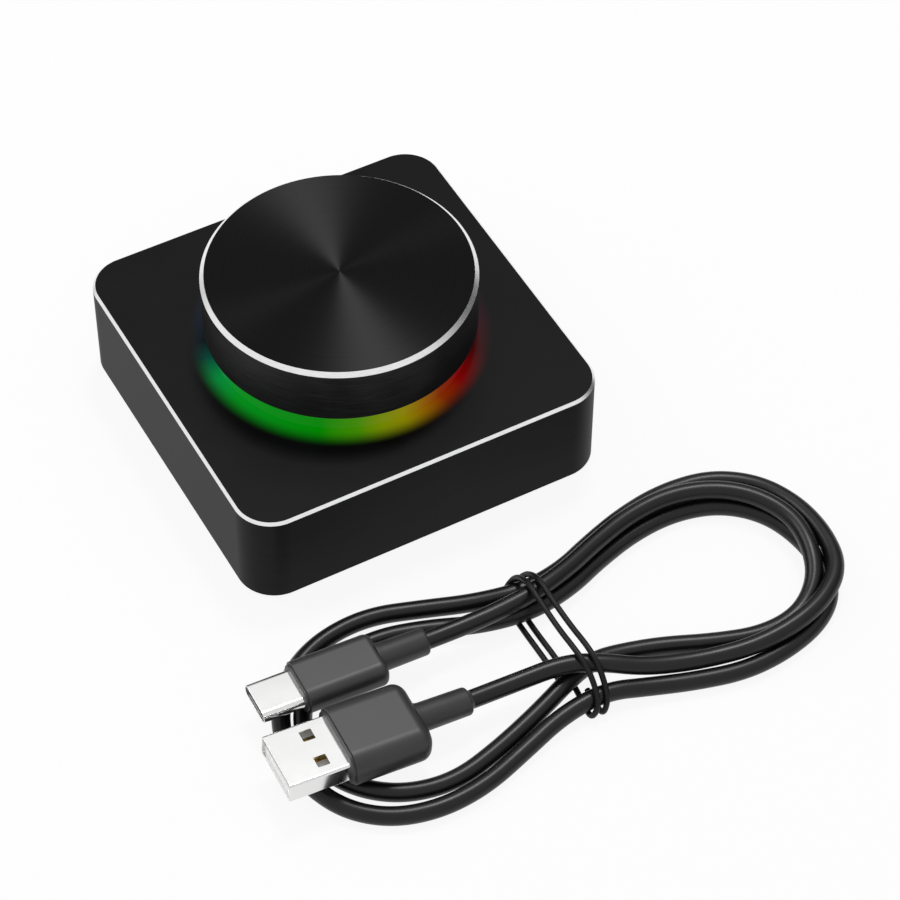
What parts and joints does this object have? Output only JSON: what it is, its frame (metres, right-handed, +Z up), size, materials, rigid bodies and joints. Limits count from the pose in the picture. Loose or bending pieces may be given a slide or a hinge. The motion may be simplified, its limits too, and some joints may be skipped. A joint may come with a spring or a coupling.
{
  "type": "volume control knob",
  "caption": "Square desk unit with a large turning and pressing metal knob over a ring of light, a rear USB-C socket, and a loose, tied USB-A to USB-C lead beside it.",
  "frame": {"origin": "centre of the square casing, on the surface that the rubber feet stand on", "axes": "+Z up along the knob's axis, +Y out of the rear side with the USB-C socket, +X to the right seen from the front, where the loose lead lies"},
  "size_m": [0.1164, 0.1318, 0.0369],
  "materials": {
    "casing_metal": "satin black anodised, with a bright cut edge",
    "knob_metal": "black anodised, spun on top, with a bright cut edge",
    "foot_rubber": "matte",
    "plain_steel": "zinc plated",
    "spring_steel": "bright spring steel",
    "ballast_iron": "phosphated",
    "plate_aluminium": "stamped, plain",
    "circuit_board": "dark solder mask",
    "chip_resin": "matte",
    "capacitor_ceramic": "matte",
    "lamp_resin": "white with a clear window",
    "light_diffuser": "frosted, lit from below",
    "encoder_resin": "moulded",
    "nickel": "nickel plated",
    "plain_brass": "turned",
    "usb_metal": "bright nickel",
    "usb_white": "white moulding",
    "usb_black": "black moulding",
    "contact_gold": "gold flash",
    "plug_plastic": "fine matte",
    "cable_jacket": "satin",
    "tie_jacket": "plastic over a soft wire"
  },
  "bodies": {
    "base": {"casing_shell": "casing_metal", "base_plate": "plate_aluminium", "rubber_feet": "foot_rubber", "base_screws": "plain_steel", "ballast_plate": "ballast_iron", "ballast_screws": "plain_steel", "mounting_plate": "plate_aluminium", "plate_screws": "plain_steel", "board_spacers": "plain_brass", "board_screws": "plain_steel", "main_board": "circuit_board", "controller_chip": "chip_resin", "capacitors": "capacitor_ceramic", "led_board": "circuit_board", "leds": "lamp_resin", "led_header": "chip_resin", "light_ring": "light_diffuser", "encoder_base": "encoder_resin", "encoder_can": "nickel", "encoder_bushing": "plain_brass", "encoder_pins": "nickel", "encoder_wipers": "spring_steel", "encoder_washer": "nickel", "encoder_nut": "nickel", "detent_spring": "spring_steel", "switch_dome": "spring_steel", "usb_socket_shell": "usb_metal", "usb_socket_tongue": "usb_black"},
    "rotor": {"encoder_rotor": "encoder_resin"},
    "knob": {"encoder_shaft": "nickel", "shaft_clip": "spring_steel", "knob_cap": "knob_metal", "knob_hub": "plate_aluminium", "hub_screws": "plain_steel"},
    "cable": {"usb_a_shell": "usb_metal", "usb_a_insulator": "usb_white", "usb_a_contacts": "contact_gold", "usb_a_overmold": "plug_plastic", "usb_a_strain_relief": "plug_plastic", "usb_c_shell": "usb_metal", "usb_c_insulator": "usb_black", "usb_c_overmold": "plug_plastic", "usb_c_strain_relief": "plug_plastic", "lead_a": "cable_jacket", "lead_c": "cable_jacket", "cable_hank": "cable_jacket", "cable_tie": "tie_jacket"}
  },
  "joints": [
    {"name": "knob_turn", "type": "hinge", "parent": "base", "child": "rotor", "pos_m": [0, 0, 0], "axis": [0, 0, 1], "continuous": true},
    {"name": "knob_press", "type": "slide", "parent": "rotor", "child": "knob", "axis": [0, 0, -1], "range_m": [0, 0.0005], "stiffness_N_per_m": 5000, "springref_m": -0.0002, "deforming": ["switch_dome"]},
    {"name": "cable_lift", "type": "slide", "parent": "base", "child": "cable", "axis": [0, 0, 1], "range_m": [0, 0.1]}
  ]
}
